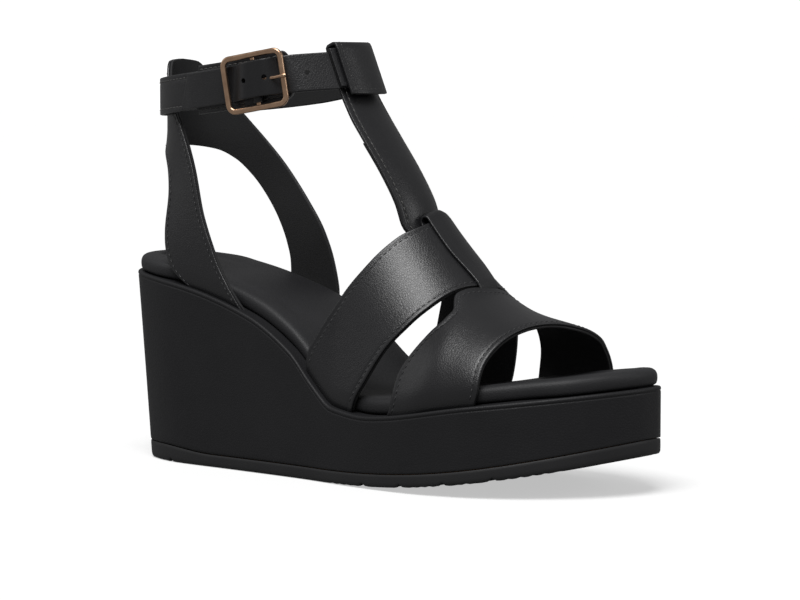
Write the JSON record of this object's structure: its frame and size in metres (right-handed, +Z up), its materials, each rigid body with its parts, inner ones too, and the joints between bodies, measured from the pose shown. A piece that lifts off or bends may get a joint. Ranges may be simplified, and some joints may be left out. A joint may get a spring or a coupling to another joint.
{
  "type": "wedge sandal",
  "caption": "Black leather wedge sandal with a padded footbed, crossed vamp bands, open toe, T-strap, open heel quarter and a buckled ankle strap.",
  "frame": {"origin": "on the floor under the middle of the sandal's box", "axes": "+X from heel to toe, +Y to the inner side of the foot, +Z up"},
  "size_m": [0.25, 0.0908, 0.1779],
  "materials": {
    "upper_leather": "smooth grain leather, soft gloss, black edge paint and black stitching",
    "lining": "matte lining leather",
    "cover_leather": "fine-grained leather wrap, satin",
    "footbed_leather": "soft matte leather over foam",
    "rubber": "matte moulded rubber",
    "foam": "open-cell foam",
    "cork": "pressed cork",
    "board": "pressed fibre board",
    "steel": "spring steel strip",
    "buckle_metal": "satin rose-gold plate"
  },
  "bodies": {
    "root": {"outsole": "rubber", "wedge_core": "cork", "wedge_cover": "cover_leather", "shank": "steel", "insole_board": "board", "footbed_foam": "foam", "footbed_cover": "footbed_leather", "vamp_band_lining": "lining", "vamp_band": "upper_leather", "toe_band_lining": "lining", "toe_band": "upper_leather", "centre_loop": "upper_leather", "t_strap": "upper_leather", "t_strap_lining": "lining", "heel_quarter_lining": "lining", "heel_quarter": "upper_leather", "ankle_strap_lining": "lining", "ankle_strap": "upper_leather", "backing_tab": "upper_leather", "buckle_chape": "upper_leather"},
    "strap_end": {"strap_end": "upper_leather"},
    "buckle": {"buckle_frame": "buckle_metal", "buckle_bar": "buckle_metal"},
    "tongue": {"buckle_tongue": "buckle_metal"}
  },
  "joints": [
    {"name": "strap_swing", "type": "hinge", "parent": "root", "child": "strap_end", "pos_m": [-0.01587, -0.01118, 0.16621], "axis": [0, 0, 1], "range_deg": [0, 55], "deforming": ["strap_end"]},
    {"name": "buckle_tilt", "type": "hinge", "parent": "root", "child": "buckle", "pos_m": [-0.0423, -0.02975, 0.1618], "axis": [-0.1643, -0.033, 0.9859], "range_deg": [-2, 2]},
    {"name": "tongue_swing", "type": "hinge", "parent": "buckle", "child": "tongue", "pos_m": [-0.0423, -0.02975, 0.1618], "axis": [0.1643, 0.033, -0.9859], "range_deg": [0, 110]}
  ]
}
